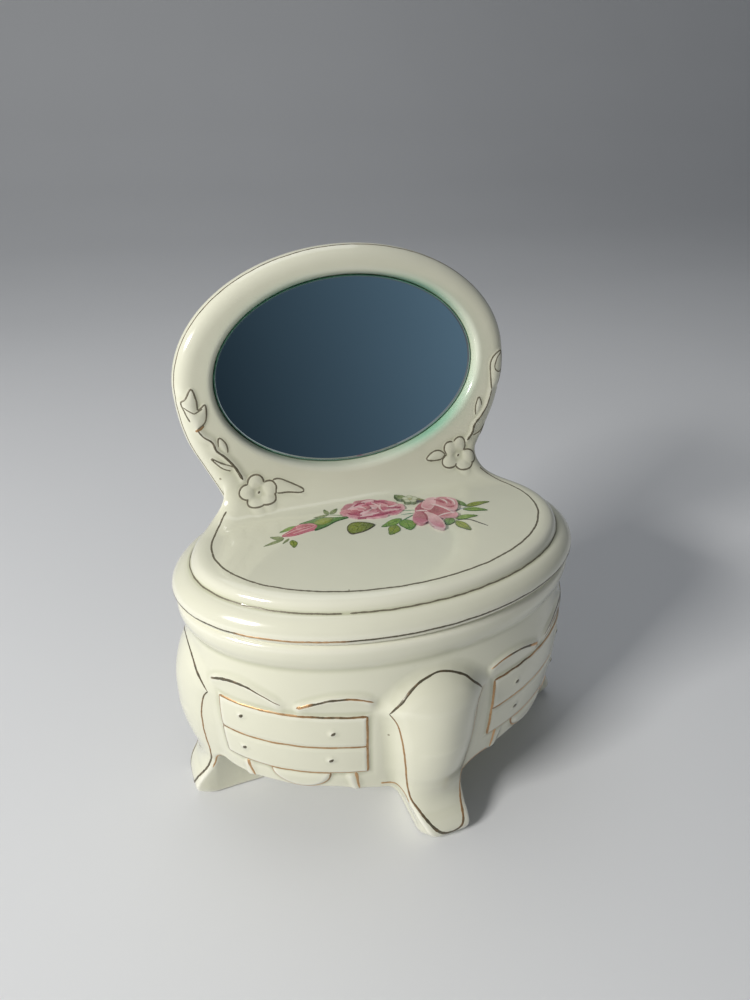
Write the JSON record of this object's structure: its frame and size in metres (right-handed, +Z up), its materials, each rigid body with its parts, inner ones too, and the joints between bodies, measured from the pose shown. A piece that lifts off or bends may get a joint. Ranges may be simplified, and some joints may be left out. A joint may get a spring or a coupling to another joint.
{
  "type": "vanity trinket box",
  "caption": "Oval ceramic trinket box shaped like a vanity table, on cabriole legs, with a lift-off lid that carries an upright oval mirror.",
  "frame": {"origin": "on the floor, under the middle of the oval box", "axes": "+Z up, +X along the oval's long axis, the mirror faces -Y"},
  "size_m": [0.1116, 0.0832, 0.1375],
  "materials": {
    "glazed_body": "gloss",
    "gilding": "polished",
    "decal": "gloss",
    "mirror_pane": "polished",
    "backing_paint": "matte",
    "glue": "satin"
  },
  "bodies": {
    "box": {"box_base": "glazed_body"},
    "lid": {"lid": "glazed_body", "mirror_glass": "mirror_pane", "mirror_backing": "backing_paint", "mirror_adhesive": "glue"}
  },
  "joints": [
    {"name": "lid_lift", "type": "slide", "parent": "box", "child": "lid", "axis": [0, 0, 1], "range_m": [0, 0.06]}
  ]
}
